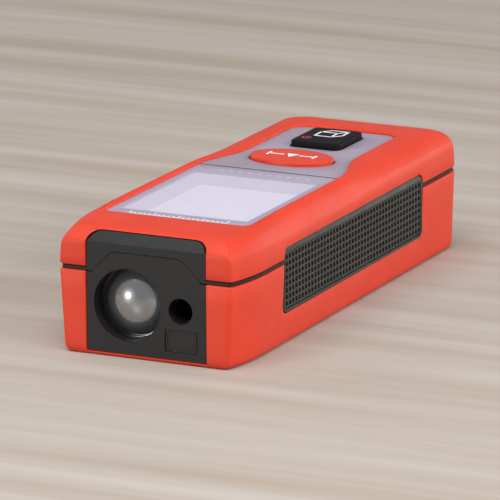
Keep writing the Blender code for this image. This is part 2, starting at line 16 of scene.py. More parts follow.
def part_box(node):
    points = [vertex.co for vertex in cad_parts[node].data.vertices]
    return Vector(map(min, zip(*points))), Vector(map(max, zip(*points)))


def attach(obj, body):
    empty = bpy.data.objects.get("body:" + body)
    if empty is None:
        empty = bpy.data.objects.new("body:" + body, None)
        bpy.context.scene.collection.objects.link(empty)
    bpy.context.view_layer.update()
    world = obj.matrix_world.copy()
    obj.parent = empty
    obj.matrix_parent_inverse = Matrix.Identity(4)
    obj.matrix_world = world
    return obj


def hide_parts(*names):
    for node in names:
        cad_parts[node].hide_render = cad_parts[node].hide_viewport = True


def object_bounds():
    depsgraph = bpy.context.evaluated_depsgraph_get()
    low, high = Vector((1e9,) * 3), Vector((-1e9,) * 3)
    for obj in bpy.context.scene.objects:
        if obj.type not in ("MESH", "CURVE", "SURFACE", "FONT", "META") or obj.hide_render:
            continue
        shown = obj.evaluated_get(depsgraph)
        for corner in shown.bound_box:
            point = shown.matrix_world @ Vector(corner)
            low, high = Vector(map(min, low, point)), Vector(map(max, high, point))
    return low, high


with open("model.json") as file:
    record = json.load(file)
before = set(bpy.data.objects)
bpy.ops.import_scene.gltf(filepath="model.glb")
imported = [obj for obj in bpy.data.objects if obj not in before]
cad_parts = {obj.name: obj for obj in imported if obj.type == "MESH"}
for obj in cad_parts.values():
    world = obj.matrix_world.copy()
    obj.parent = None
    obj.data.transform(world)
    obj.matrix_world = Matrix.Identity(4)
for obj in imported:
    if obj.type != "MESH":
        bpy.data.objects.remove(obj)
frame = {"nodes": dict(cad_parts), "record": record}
cad_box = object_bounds()

MM = 0.001
FRONT_Y = cad_box[0][1]


# ------------------------------------------------- dimensions from the frame

def span(node):
    """Lowest and highest corner of a CAD node in the meter's millimetres."""
    low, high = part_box(node)
    return ((low[0] / MM, (low[1] - FRONT_Y) / MM, low[2] / MM),
            (high[0] / MM, (high[1] - FRONT_Y) / MM, high[2] / MM))


LENGTH = (cad_box[1][1] - cad_box[0][1]) / MM
HALF_WIDTH = span("upper_overmould")[1][0]
RIM_TOP = span("upper_overmould")[1][2]
UPPER_BOTTOM = span("upper_overmould")[0][2]
LOWER_TOP = span("lower_overmould")[1][2]
WINDOW_LOW, WINDOW_HIGH = span("display_window")
KEYPAD_LOW, KEYPAD_HIGH = span("keypad_panel")
GRIP_LOW, GRIP_HIGH = span("side_grip_right")
MEASURE_LOW, MEASURE_HIGH = span("measure_button")
MODE_LOW, MODE_HIGH = span("mode_button")
LENS_LOW, LENS_HIGH = span("receiver_lens")
COVER_LOW, COVER_HIGH = span("battery_cover")
BEZEL_FACE = span("lower_case")[0][1]
PANEL_TOP = WINDOW_HIGH[2]

# Profile dimensions that no node's box gives
SIDE_TAPER = 0.45
FLARE = 1.5
FLARE_LENGTH = 10.5
FRONT_CORNER = 0.9
REAR_CORNER = 7.0
KEYPAD_HALF_WIDTH = 11.2
KEYPAD_BEND_END = 68.0
SHOULDER_START = 50.0
WINDOW_CORNER = 1.5
KEYPAD_CORNER = 3.0
BEZEL_HALF_WIDTH = 12.35
BEZEL_BEND = 21.55
BEZEL_TOP = 23.5
FLANGE_LIP = 0.8
MODE_CORNER = 1.3
SKIN = 0.85
KEY_FLANGE_HEIGHT = 0.8
COVER_RAIL = 0.65
SCREW_X = 14.4
SCREW_Y = (8.0, 88.0)
SCREW_PLACES = [(side * SCREW_X, y) for y in SCREW_Y for side in (-1, 1)]

# The front inset of a ring fades out over this length of the side
FRONT_INSET_FADE = 20
LEAST_REAR_RADIUS = 2.0
# The rim over the lens end lies this much lower, up to DIP_START, and rises over DIP_LENGTH
LENS_END_DIP = 0.28
DIP_START, DIP_LENGTH = 6.0, 22.0
# Up the shoulder, the dip sets in from this level and is whole this much higher
DIP_LEVEL, DIP_BLEND = 22.5, 1.8

# Points round the housing: they are the same on every ring, so rings can be skinned
FRONT_STEPS = 10
CORNER_STEPS = 5
SIDE_STEPS = 76
REAR_STEPS = 12

RECTANGLE_CORNER_STEPS = 6
BEVEL_SEGMENTS = 2
CASE_BEVEL = 0.14
CAD_SHARP_ANGLE = 32
# Cutters from above end here, clear of the meter's top
ABOVE_METER = 26


# ------------------------------------------------- geometry helpers

def point(x, y, z):
    return Vector((x * MM, FRONT_Y + y * MM, z * MM))


def smooth(value):
    value = min(max(value, 0.0), 1.0)
    return value * value * (3 - 2 * value)


def arc(centre, radius, start, end, steps):
    radius_u, radius_v = radius if isinstance(radius, tuple) else (radius, radius)
    points = []
    for step in range(steps + 1):
        angle = math.radians(start + (end - start) * step / steps)
        points.append((centre[0] + radius_u * math.cos(angle),
                       centre[1] + radius_v * math.sin(angle)))
    return points


def ellipse(centre, radius, steps):
    return arc(centre, radius, 0, 360, steps)[:-1]


def rounded_rectangle(low, high, radius):
    corners = [((high[0] - radius, low[1] + radius), -90),
               ((high[0] - radius, high[1] - radius), 0),
               ((low[0] + radius, high[1] - radius), 90),
               ((low[0] + radius, low[1] + radius), 180)]
    points = []
    for centre, start in corners:
        points += arc(centre, radius, start, start + 90, RECTANGLE_CORNER_STEPS)
    return points


def closed_half(half):
    """Whole outline from a +X half that starts and ends on the centre plane."""
    return half + [(-x, y) for x, y in reversed(half[1:-1])]


def mirrored(half):
    return half + [(-x, y) for x, y in reversed(half)]


def housing_half_width(y):
    """The side bows outwards behind the front face, then tapers to the rear."""
    bow = min((y - FRONT_CORNER) / FLARE_LENGTH, 1.0)
    taper_start = FRONT_CORNER + FLARE_LENGTH
    taper = max(y - taper_start, 0.0) / (LENGTH - REAR_CORNER - taper_start)
    return HALF_WIDTH - FLARE * (1 - bow) ** 2 - SIDE_TAPER * min(taper, 1.0)


def ring_half(front_y, corner, side_x, side_ends, rear_corner, rear_radius, rear_y):
    """One half ring: front edge, corner, side, rear corner and rear edge."""
    corner_centre, corner_radius = corner
    half = [(corner_centre[0] * step / FRONT_STEPS, front_y) for step in range(FRONT_STEPS)]
    half += arc(corner_centre, corner_radius, -90, 0, CORNER_STEPS)
    start, end = side_ends
    for step in range(1, SIDE_STEPS):
        y = start + (end - start) * step / SIDE_STEPS
        half.append((side_x(y), y))
    half += arc(rear_corner, rear_radius, 0, 90, REAR_STEPS)
    half += [(rear_corner[0] * (1 - step / FRONT_STEPS), rear_y)
             for step in range(1, FRONT_STEPS + 1)]
    return half


def housing_ring(side, front, rear):
    corner_x = HALF_WIDTH - FLARE - side - FRONT_CORNER
    corner_y = front + FRONT_CORNER
    radius = max(REAR_CORNER - side, LEAST_REAR_RADIUS)
    rear_centre = (HALF_WIDTH - SIDE_TAPER - side - radius, LENGTH - rear - radius)

    def side_x(y):
        return housing_half_width(y - front * (1 - smooth(y / FRONT_INSET_FADE))) - side

    return closed_half(ring_half(front, ((corner_x, corner_y), FRONT_CORNER), side_x,
                                 (corner_y, rear_centre[1]), rear_centre, radius, LENGTH - rear))


def panel_half_width(y, margin):
    along = smooth((y - WINDOW_HIGH[1]) / (KEYPAD_BEND_END - WINDOW_HIGH[1]))
    return WINDOW_HIGH[0] + (KEYPAD_HALF_WIDTH - WINDOW_HIGH[0]) * along + margin


def recess_ring(margin):
    """The panel recess, with as many points as a housing ring."""
    front_y = WINDOW_LOW[1] - margin
    corner = (WINDOW_HIGH[0] - WINDOW_CORNER, WINDOW_LOW[1] + WINDOW_CORNER)
    rear_centre = (KEYPAD_HALF_WIDTH - KEYPAD_CORNER, KEYPAD_HIGH[1] - KEYPAD_CORNER)
    return closed_half(ring_half(front_y, (corner, WINDOW_CORNER + margin),
                                 lambda y: panel_half_width(y, margin),
                                 (corner[1], rear_centre[1]), rear_centre,
                                 KEYPAD_CORNER + margin, KEYPAD_HIGH[1] + margin))


def panel_side(start, end, margin, steps):
    """One side of the panel outline, from one Y to another."""
    return [(panel_half_width(start + (end - start) * step / steps, margin),
             start + (end - start) * step / steps) for step in range(steps + 1)]


def loft(rings, caps=True, mesh_data=None):
    """Skin rings of equal count; without caps the last ring meets the first."""
    mesh_data = mesh_data or bmesh.new()
    stack = [[mesh_data.verts.new(position) for position in ring] for ring in rings]
    pairs = list(zip(stack, stack[1:]))
    if not caps:
        pairs.append((stack[-1], stack[0]))
    for lower, upper in pairs:
        count = len(lower)
        for index in range(count):
            after = (index + 1) % count
            mesh_data.faces.new((lower[index], lower[after], upper[after], upper[index]))
    if caps:
        mesh_data.faces.new(list(reversed(stack[0])))
        mesh_data.faces.new(stack[-1])
    return mesh_data


def place(u, v, level, axis):
    """Point of an outline that is drawn across the given axis, at a level along it."""
    if axis == "Z":
        return point(u, v, level)
    if axis == "Y":
        return point(u, level, v)
    return point(level, u, v)


def prism(outline, low, high, axis="Z", mesh_data=None):
    rings = [[place(u, v, level, axis) for u, v in outline] for level in (low, high)]
    return loft(rings, mesh_data=mesh_data)


def layered(rows, outline_of, axis="Z"):
    """Stack of outlines: each row is (argument for the outline, level)."""
    rings = [[place(u, v, level, axis) for u, v in outline_of(argument)]
             for argument, level in rows]
    return loft(rings)


def box(low, high):
    outline = [(low[0], low[1]), (high[0], low[1]), (high[0], high[1]), (low[0], high[1])]
    return prism(outline, low[2], high[2])


def new_object(name, mesh_data):
    bmesh.ops.recalc_face_normals(mesh_data, faces=mesh_data.faces)
    mesh = bpy.data.meshes.new(name)
    mesh_data.to_mesh(mesh)
    mesh_data.free()
    item = bpy.data.objects.new(name, mesh)
    bpy.context.scene.collection.objects.link(item)
    return item


def boolean(item, tool_mesh, operation="DIFFERENCE"):
    """Apply a cut or a join at once and drop the tool."""
    tool = new_object("tool", tool_mesh)
    step = item.modifiers.new("tool", "BOOLEAN")
    step.operation = operation
    step.solver = "EXACT"
    step.object = tool
    apply_modifiers(item)
    bpy.data.objects.remove(tool, do_unlink=True)


def apply_modifiers(item):
    bpy.context.view_layer.update()
    evaluated = item.evaluated_get(bpy.context.evaluated_depsgraph_get())
    mesh = bpy.data.meshes.new_from_object(evaluated)
    item.modifiers.clear()
    old = item.data
    item.data = mesh
    bpy.data.meshes.remove(old)


def add_bevel(item, width, angle=35):
    step = item.modifiers.new("edge_round", "BEVEL")
    step.width = width * MM
    step.segments = BEVEL_SEGMENTS
    step.limit_method = "ANGLE"
    step.angle_limit = math.radians(angle)
    step.use_clamp_overlap = False
    step.miter_outer = "MITER_ARC"


def cut_faces_to_triangles(item):
    """Booleans leave large faces with holes in them, which a bevel can close again."""
    mesh_data = bmesh.new()
    mesh_data.from_mesh(item.data)
    large = [face for face in mesh_data.faces if len(face.verts) > 4]
    bmesh.ops.triangulate(mesh_data, faces=large)
    mesh_data.to_mesh(item.data)
    mesh_data.free()


def finish_piece(item, body, material, replaces=(), sharp=40):
    """Apply the modifiers, shade, colour and attach one visible piece."""
    apply_modifiers(item)
    item.data.shade_smooth()
    item.data.set_sharp_from_angle(angle=math.radians(sharp))
    item.data.materials.clear()
    item.data.materials.append(material)
    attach(item, body)
    if replaces:
        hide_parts(*replaces)
    return item


# ------------------------------------------------- materials

class Nodes:
    """Small helper that builds a node material on object coordinates."""

    def __init__(self, name):
        self.material = bpy.data.materials.new(name)
        self.material.use_nodes = True
        self.tree = self.material.node_tree
        self.shader = self.tree.nodes["Principled BSDF"]
        self.place = self.tree.nodes.new("ShaderNodeTexCoord").outputs["Object"]

    def link(self, source, target):
        self.tree.links.new(source, target)

    def noise(self, size, detail=3.0):
        """Noise whose features are about this many millimetres across."""
        node = self.tree.nodes.new("ShaderNodeTexNoise")
        node.inputs["Scale"].default_value = 1 / (size * MM)
        node.inputs["Detail"].default_value = detail
        self.link(self.place, node.inputs["Vector"])
        return node.outputs["Fac"]

    def streaks(self, size, stretch):
        """Noise drawn out along X, like the grain of a table top."""
        mapping = self.tree.nodes.new("ShaderNodeMapping")
        mapping.inputs["Scale"].default_value = (stretch, 1.0, 1.0)
        self.link(self.place, mapping.inputs["Vector"])
        node = self.tree.nodes.new("ShaderNodeTexNoise")
        node.inputs["Scale"].default_value = 1 / (size * MM)
        node.inputs["Detail"].default_value = 4.0
        self.link(mapping.outputs["Vector"], node.inputs["Vector"])
        return node.outputs["Fac"]

    def cells(self, size):
        """Distance from the middles of cells about this many millimetres across."""
        node = self.tree.nodes.new("ShaderNodeTexVoronoi")
        node.inputs["Scale"].default_value = 1 / (size * MM)
        self.link(self.place, node.inputs["Vector"])
        return node.outputs["Distance"]

    def ramp(self, source, stops):
        node = self.tree.nodes.new("ShaderNodeValToRGB")
        elements = node.color_ramp.elements
        while len(elements) < len(stops):
            elements.new(0.5)
        for element, (position, colour) in zip(elements, stops):
            element.position = position
            element.color = (*colour, 1.0)
        self.link(source, node.inputs["Fac"])
        return node.outputs["Color"]

    def spread(self, source, low, high):
        """Stretch the middle of a noise, where most of it lies, over a range."""
        node = self.tree.nodes.new("ShaderNodeMapRange")
        node.inputs["From Min"].default_value = 0.3
        node.inputs["From Max"].default_value = 0.7
        node.inputs["To Min"].default_value = low
        node.inputs["To Max"].default_value = high
        self.link(source, node.inputs["Value"])
        return node.outputs["Result"]

    def mix(self, factor, first, second):
        node = self.tree.nodes.new("ShaderNodeMix")
        node.data_type = "RGBA"
        self.link(factor, node.inputs["Factor"])
        self.link(first, node.inputs["A"])
        self.link(second, node.inputs["B"])
        return node.outputs["Result"]

    def bump(self, height, strength, depth):
        node = self.tree.nodes.new("ShaderNodeBump")
        node.inputs["Strength"].default_value = strength
        node.inputs["Distance"].default_value = depth * MM
        self.link(height, node.inputs["Height"])
        self.link(node.outputs["Normal"], self.shader.inputs["Normal"])

    def set(self, **values):
        """Set shader sockets; an underscore stands for a space in the socket's name."""
        for name, value in values.items():
            self.shader.inputs[name.replace("_", " ")].default_value = value


def tinted(colour, factor):
    return tuple(min(channel * factor, 1.0) for channel in colour)


def moulded(name, colour, roughness, variation=0.06, grain=0.18, grain_strength=0.25,
            dust=False, **sockets):
    """Moulded plastic or rubber: faint mottling, uneven gloss and a fine grain."""
    nodes = Nodes(name)
    broad = nodes.noise(9.0)
    base = nodes.ramp(broad, [(0.3, tinted(colour, 1 - variation)),
                              (0.7, tinted(colour, 1 + variation))])
    if dust:
        speck = nodes.ramp(nodes.cells(3.6), [(0.0, (1, 1, 1)), (0.028, (1, 1, 1)),
                                              (0.036, (0, 0, 0))])
        pale = nodes.ramp(nodes.noise(1.0), [(0.0, (0.10, 0.095, 0.09)),
                                             (1.0, (0.30, 0.28, 0.26))])
        base = nodes.mix(speck, base, pale)
    nodes.link(base, nodes.shader.inputs["Base Color"])
    gloss = nodes.spread(nodes.noise(2.5), roughness - 0.05, roughness + 0.05)
    nodes.link(gloss, nodes.shader.inputs["Roughness"])
    nodes.bump(nodes.noise(grain, 2.0), grain_strength, 0.02)
    nodes.set(**sockets)
    return nodes.material


def metal(name, colour, roughness):
    """Plated or cast metal: faint mottling and uneven gloss."""
    grain = 0.4
    nodes = Nodes(name)
    base = nodes.ramp(nodes.noise(3.0), [(0.3, tinted(colour, 0.9)), (0.7, tinted(colour, 1.05))])
    nodes.link(base, nodes.shader.inputs["Base Color"])
    nodes.link(nodes.spread(nodes.noise(grain), roughness - 0.08, roughness + 0.08),
               nodes.shader.inputs["Roughness"])
    nodes.bump(nodes.noise(grain, 2.0), 0.15, 0.01)
    nodes.set(Metallic=1.0)
    return nodes.material


def glass(name, colour):
    """Clear or coloured glass with an almost even tint."""
    nodes = Nodes(name)
    tint = nodes.ramp(nodes.noise(6.0), [(0.3, tinted(colour, 0.97)), (0.7, colour)])
    nodes.link(tint, nodes.shader.inputs["Base Color"])
    nodes.set(Roughness=0.01, IOR=1.5)
    nodes.shader.inputs["Transmission Weight"].default_value = 1.0
    return nodes.material


def coated_lens(name, colour):
    """Receiver lens with tuned numbers, not real glass: a soft sheen under a polished surface."""
    nodes = Nodes(name)
    tint = nodes.ramp(nodes.noise(6.0), [(0.3, tinted(colour, 0.95)), (0.7, colour)])
    nodes.link(tint, nodes.shader.inputs["Base Color"])
    nodes.set(Roughness=0.27, IOR=2.3, Coat_Weight=0.9, Coat_Roughness=0.04, Coat_IOR=2.1)
    nodes.shader.inputs["Transmission Weight"].default_value = 0.85
    return nodes.material


RED = (0.66, 0.045, 0.017)
SCREEN = dict(roughness=0.45, variation=0.015, grain=0.5, grain_strength=0.0)

# Each finish: its maker, its colour and how it differs from the maker's defaults
PALETTE = {
    "soft_red": (moulded, RED, dict(roughness=0.5, variation=0.05, grain=0.22,
                                    grain_strength=0.35, Specular_IOR_Level=0.32)),
    "black_plastic": (moulded, (0.013, 0.012, 0.0115),
                      dict(roughness=0.42, variation=0.12, grain=0.25, grain_strength=0.4,
                           dust=True, Specular_IOR_Level=0.28)),
    "grip_rubber": (moulded, (0.046, 0.044, 0.038),
                    dict(roughness=0.5, variation=0.1, Specular_IOR_Level=0.25)),
    "panel_plastic": (moulded, (0.32, 0.275, 0.345),
                      dict(roughness=0.55, variation=0.05, grain=0.24, grain_strength=0.7)),
    "button_red": (moulded, (0.66, 0.045, 0.018),
                   dict(roughness=0.38, variation=0.04, grain=0.3, grain_strength=0.12,
                        Specular_IOR_Level=0.3)),
    "button_black": (moulded, (0.008, 0.006, 0.008),
                     dict(roughness=0.5, variation=0.1, grain=0.3, grain_strength=0.2,
                          Specular_IOR_Level=0.08)),
    "frame_grey": (moulded, (0.18, 0.18, 0.19), dict(roughness=0.6)),
    "light_guide": (moulded, (0.8, 0.8, 0.83), dict(roughness=0.35)),
    "board_green": (moulded, (0.02, 0.13, 0.06),
                    dict(roughness=0.4, variation=0.2, grain=0.8, grain_strength=0.3)),
    "chip_black": (moulded, (0.03, 0.03, 0.03), dict(roughness=0.45)),
    "cell_wrap": (moulded, (0.42, 0.30, 0.08),
                  dict(roughness=0.28, variation=0.05, grain=0.5, grain_strength=0.1,
                       Metallic=0.4)),
    "steel": (metal, (0.62, 0.62, 0.64), dict(roughness=0.3)),
    "chassis_alloy": (metal, (0.40, 0.40, 0.42), dict(roughness=0.45)),
    "black_anodised": (moulded, (0.012, 0.008, 0.008), dict(roughness=0.5, variation=0.1)),
    "brass": (metal, (0.75, 0.53, 0.25), dict(roughness=0.28)),
    "clear_glass": (glass, (0.93, 0.95, 0.97), {}),
    "lens_glass": (coated_lens, (0.30, 0.32, 0.33), {}),
    "filter_glass": (glass, (0.45, 0.04, 0.05), {}),
    "lcd_glass": (moulded, (0.535, 0.50, 0.60), SCREEN),
    # Painted light: a lighter display tone for the part outside the border's shadow; the lcd_glass
    # tone left round it stands for that shadow
    "lcd_active": (moulded, (0.62, 0.585, 0.685), SCREEN),
    "border_print": (moulded, (0.36, 0.325, 0.42),
                     dict(roughness=0.4, variation=0.03, grain=0.5, grain_strength=0.0)),
    "pale_print": (moulded, (0.48, 0.45, 0.53), dict(roughness=0.4, variation=0.02)),
    "white_print": (moulded, (0.86, 0.85, 0.86), dict(roughness=0.4, variation=0.02)),
    "red_print": (moulded, (0.62, 0.05, 0.06), dict(roughness=0.4, variation=0.05)),
}
_made = {}


def finish(name):
    """The material of this name, made when it is first asked for."""
    if name not in _made:
        maker, colour, options = PALETTE[name]
        _made[name] = maker(name, colour, **options)
    return _made[name]


# ------------------------------------------------- housing skins

def lens_end_dip(y):
    """The rim is lowest over the lens end and rises beside the window."""
    return LENS_END_DIP * (1 - smooth((y - DIP_START) / DIP_LENGTH))


def crown_height(y):
    return RIM_TOP - lens_end_dip(y)


def shoulder_point(x, y, window_z, keypad_z):
    """The shoulder drops where the panel narrows, so its height depends on y."""
    along = smooth((y - SHOULDER_START) / (KEYPAD_BEND_END - SHOULDER_START))
    dip = lens_end_dip(y) * smooth((window_z - DIP_LEVEL) / DIP_BLEND)
    return point(x, y, window_z + (keypad_z - window_z) * along - dip)


def bezel_opening(low_z, depth):
    """Cutter for the opening that the black bezel shows through."""
    corner_x, corner_height = 9.4, 2.0
    corner_start = 12
    ahead = -2
    half = [(BEZEL_HALF_WIDTH, low_z), (BEZEL_HALF_WIDTH, BEZEL_BEND)]
    half += arc((corner_x, BEZEL_TOP - corner_height),
                (BEZEL_HALF_WIDTH - corner_x, corner_height), corner_start, 90, 8)
    return prism(mirrored(half), ahead, depth, "Y")


def grip_pockets():
    """Cutters for the two side pockets that hold the grips."""
    margin, corner, beyond_side = 0.2, 1.8, 2
    outline = rounded_rectangle((GRIP_LOW[1] - margin, GRIP_LOW[2] - margin),
                                (GRIP_HIGH[1] + margin, GRIP_HIGH[2] + margin), corner)
    pockets = bmesh.new()
    for side in (-1, 1):
        near, far = sorted((side * (GRIP_LOW[0] - margin), side * (HALF_WIDTH + beyond_side)))
        prism(outline, near, far, "X", pockets)
    return pockets


def make_upper_skin():
    """Red upper skin: outer wall and shoulder, crown, down into the panel recess, inner wall."""
    base = UPPER_BOTTOM
    # Level beside the window and beside the keypad, then side, front and rear inset
    outer = [(base, base, 0.28, 0.28, 0.28), (base + 0.06, base + 0.06, 0.1, 0.1, 0.1),
             (base + 0.25, base + 0.25, 0.0, 0.0, 0.0), (18.5, 18.5, 0.08, 0.0, 0.02),
             (20.2, 20.2, 0.25, 0.0, 0.1), (20.9, 20.95, 0.42, 0.0, 0.28),
             (21.45, 21.6, 0.65, 0.05, 0.6), (21.8, 21.9, 0.83, 0.28, 0.9),
             (22.3, 22.25, 1.1, 0.7, 1.25), (23.05, 22.75, 1.5, 1.42, 2.0),
             (23.55, 23.08, 1.86, 1.88, 2.9), (24.0, 23.38, 2.25, 2.38, 3.9),
             (24.28, 23.66, 2.7, 2.95, 5.1)]
    rings = []
    for window_z, keypad_z, side, front, rear in outer:
        rings.append([shoulder_point(x, y, window_z, keypad_z)
                      for x, y in housing_ring(side, front, rear)])
    shoulder = housing_ring(3.2, 3.7, 6.4)
    shoulder_window_z, shoulder_keypad_z = 24.45, 23.9
    crown = recess_ring(0.95)
    crown_fullness = 1.6
    for blend in (0.0, 0.3, 0.6, 0.85, 1.0):
        ring = []
        for (x0, y0), (x1, y1) in zip(shoulder, crown):
            x, y = x0 + (x1 - x0) * blend, y0 + (y1 - y0) * blend
            low = shoulder_point(x0, y0, shoulder_window_z, shoulder_keypad_z).z / MM
            rise = 1 - (1 - blend) ** crown_fullness
            ring.append(point(x, y, low + (crown_height(y1) - low) * rise))
        rings.append(ring)
    recess_gap, recess_bottom, panel_edge = 0.02, 22.95, 0.1
    for margin, drop in ((0.6, 0.02), (0.32, 0.08), (0.12, 0.2), (recess_gap, 0.4)):
        ring = []
        for x, y in recess_ring(margin):
            ring.append(point(x, y, max(crown_height(y) - drop, PANEL_TOP - panel_edge)))
        rings.append(ring)
    rings.append([point(x, y, recess_bottom) for x, y in recess_ring(recess_gap)])
    # Level, then side, front and rear inset
    inner = [(22.9, 3.3, 3.2, 4.0), (21.6, 1.9, 0.95, 1.9), (20.2, 1.1, SKIN, 0.9),
             (base, SKIN, SKIN, SKIN)]
    for z, side, front, rear in inner:
        rings.append([point(x, y, z) for x, y in housing_ring(side, front, rear)])
    skin = new_object("upper_skin", loft(rings, caps=False))
    below_parting, behind_front = 14.0, 4.0
    boolean(skin, bezel_opening(below_parting, behind_front))
    boolean(skin, grip_pockets())
    add_bevel(skin, CASE_BEVEL)
    finish_piece(skin, "housing", finish("soft_red"), ["upper_overmould"])


def make_lower_skin():
    """Red lower skin, open at the bezel, grips, screw wells, battery cover and its rails."""
    # Level, then side, front and rear inset: the inner wall upwards, the outer wall downwards
    rows = [(0.8, 2.3, 1.55, 1.55), (2.0, 1.62, SKIN, SKIN), (LOWER_TOP, SKIN, SKIN, SKIN),
            (LOWER_TOP, 0.3, 0.28, 0.28), (LOWER_TOP - 0.06, 0.12, 0.1, 0.1),
            (LOWER_TOP - 0.25, 0.05, 0.0, 0.0), (12.0, 0.25, 0.0, 0.0), (8.0, 0.46, 0.0, 0.0),
            (4.0, 0.69, 0.0, 0.0), (2.2, 0.79, 0.0, 0.0), (1.3, 0.86, 0.02, 0.04),
            (0.8, 0.98, 0.1, 0.16), (0.4, 1.2, 0.28, 0.38), (0.12, 1.55, 0.55, 0.68),
            (0.0, 1.95, 0.9, 1.05)]
    rings = []
    for z, side, front, rear in rows:
        rings.append([point(x, y, z) for x, y in housing_ring(side, front, rear)])
    skin = new_object("lower_skin", loft(rings))
    bezel_bottom, bezel_depth = 0.65, 1.8
    well_radius, well_top = 2.1, 1.6
    cover_gap, cover_top = 0.2, 2.0
    rail_reach, rail_bottom, rail_top = 0.7, 0.95, 2.05
    below, rear_part = -1, 5
    boolean(skin, bezel_opening(bezel_bottom, bezel_depth))
    boolean(skin, grip_pockets())
    holes = bmesh.new()
    for centre in SCREW_PLACES:
        prism(ellipse(centre, well_radius, 32), below, well_top, "Z", holes)
    boolean(skin, holes)
    opening = COVER_HIGH[0] - COVER_RAIL + cover_gap
    boolean(skin, box((-opening, COVER_LOW[1] - cover_gap, below),
                      (opening, LENGTH + rear_part, cover_top)))
    rail = opening + rail_reach
    boolean(skin, box((-rail, LENGTH - rear_part, rail_bottom),
                      (rail, LENGTH + rear_part, rail_top)))
    cut_faces_to_triangles(skin)
    add_bevel(skin, CASE_BEVEL)
    finish_piece(skin, "housing", finish("soft_red"), ["lower_overmould"])


# ------------------------------------------------- side grips

def make_grip(side, name, node):
    """A framed field of small square pits between thin ribs."""
    top_band, bottom_lip, end_frame = 1.25, 1.0, 0.9
    rows, columns = 8, 44
    rib_across, rib_along = 0.36, 0.5
    rib_drop, rib_crest, pit_depth, pit_rise = 0.08, 0.04, 0.6, 0.09
    groove_ends, groove_below, groove_above, groove_depth = 0.35, 0.5, 0.12, 0.62
    slope_depth, slope_overlap, slope_foot, slope_above = 0.35, 0.02, 0.15, 0.1
    plate_corner, groove_corner, plate_bevel = 1.6, 0.9, 0.08
    backing, clear = 0.05, 1
    face = GRIP_HIGH[0]
    field_low = (GRIP_LOW[1] + end_frame, GRIP_LOW[2] + bottom_lip)
    field_high = (GRIP_HIGH[1] - end_frame, GRIP_HIGH[2] - top_band)
    outline = rounded_rectangle(GRIP_LOW[1:], GRIP_HIGH[1:], plate_corner)

    plate = new_object(name, prism(outline, GRIP_LOW[0], face, "X"))
    slope_bottom, slope_top = GRIP_HIGH[2] - top_band + slope_foot, GRIP_HIGH[2] + slope_above
    slope = [(face - slope_depth, slope_top), (face + slope_overlap, slope_bottom),
             (face + clear, slope_bottom), (face + clear, slope_top)]
    boolean(plate, prism(slope, GRIP_LOW[1] - clear, GRIP_HIGH[1] + clear, "Y"))
    groove = rounded_rectangle((field_low[0] - groove_ends, field_low[1] - groove_below),
                               (field_high[0] + groove_ends, field_high[1] + groove_above),
                               groove_corner)
    boolean(plate, prism(groove, face - groove_depth, face + clear, "X"))
    add_bevel(plate, plate_bevel)
    apply_modifiers(plate)

    grid = bmesh.new()
    pitch_y = (field_high[0] - field_low[0]) / columns
    pitch_z = (field_high[1] - field_low[1]) / rows
    shared = {}
    rib_face = face - rib_drop

    def corner(column, row):
        key = (column, row)
        if key not in shared:
            shared[key] = grid.verts.new(point(rib_face, field_low[0] + column * pitch_y,
                                               field_low[1] + row * pitch_z))
        return shared[key]

    for row in range(rows):
        for column in range(columns):
            outer = [corner(column, row), corner(column + 1, row), corner(column + 1, row + 1),
                     corner(column, row + 1)]
            low_y = field_low[0] + column * pitch_y + rib_along / 2
            high_y = low_y + pitch_y - rib_along
            low_z = field_low[1] + row * pitch_z + rib_across / 2
            high_z = low_z + pitch_z - rib_across
            places = ((low_y, low_z), (high_y, low_z), (high_y, high_z), (low_y, high_z))
            crest = [grid.verts.new(point(rib_face + rib_crest, y, z)) for y, z in places]
            bottom = [grid.verts.new(point(rib_face - pit_depth + pit_rise, y, z))
                      for y, z in places]
            for first, second in ((outer, crest), (crest, bottom)):
                for index in range(4):
                    after = (index + 1) % 4
                    grid.faces.new((first[index], first[after], second[after], second[index]))
            grid.faces.new(bottom)
    border = [edge for edge in grid.edges if len(edge.link_faces) == 1]
    moved = bmesh.ops.extrude_edge_only(grid, edges=border)["geom"]
    for item in moved:
        if isinstance(item, bmesh.types.BMVert):
            item.co.x = (GRIP_LOW[0] + backing) * MM
    rim = [edge for edge in grid.edges if len(edge.link_faces) == 1]
    bmesh.ops.contextual_create(grid, geom=rim)
    ribs = new_object(name + "_ribs", grid)
    if side < 0:
        for item in (plate, ribs):
            item.data.transform(Matrix.Scale(-1, 4, (1, 0, 0)))
            item.data.flip_normals()
    finish_piece(plate, "housing", finish("grip_rubber"), [node])
    finish_piece(ribs, "housing", finish("grip_rubber"), sharp=25)


# ------------------------------------------------- window, keypad and prints

def thin_print(name, outlines, level, slot_name, body, thickness=0.03):
    """Printed marks: flat shapes that stand a hair above their surface."""
    marks = bmesh.new()
    for outline in outlines:
        prism(outline, level, level + thickness, "Z", marks)
    item = new_object(name, marks)
    return finish_piece(item, body, finish(slot_name))


def bar(start, end, width):
    """A thin straight stroke in plan."""
    run = Vector((end[0] - start[0], end[1] - start[1]))
    across = Vector((-run.y, run.x)).normalized() * width / 2
    return [(start[0] + across.x, start[1] + across.y), (start[0] - across.x, start[1] - across.y),
            (end[0] - across.x, end[1] - across.y), (end[0] + across.x, end[1] + across.y)]


# The display's opening in the printed border, and the painted light on the display: a lighter
# field for the part outside the border's shadow
LCD_LOW, LCD_HIGH = (-13.0, 16.2), (13.0, 47.2)
LIT_FIELD_LOW, LIT_FIELD_HIGH = (-7.6, 16.3), (12.9, 38.6)


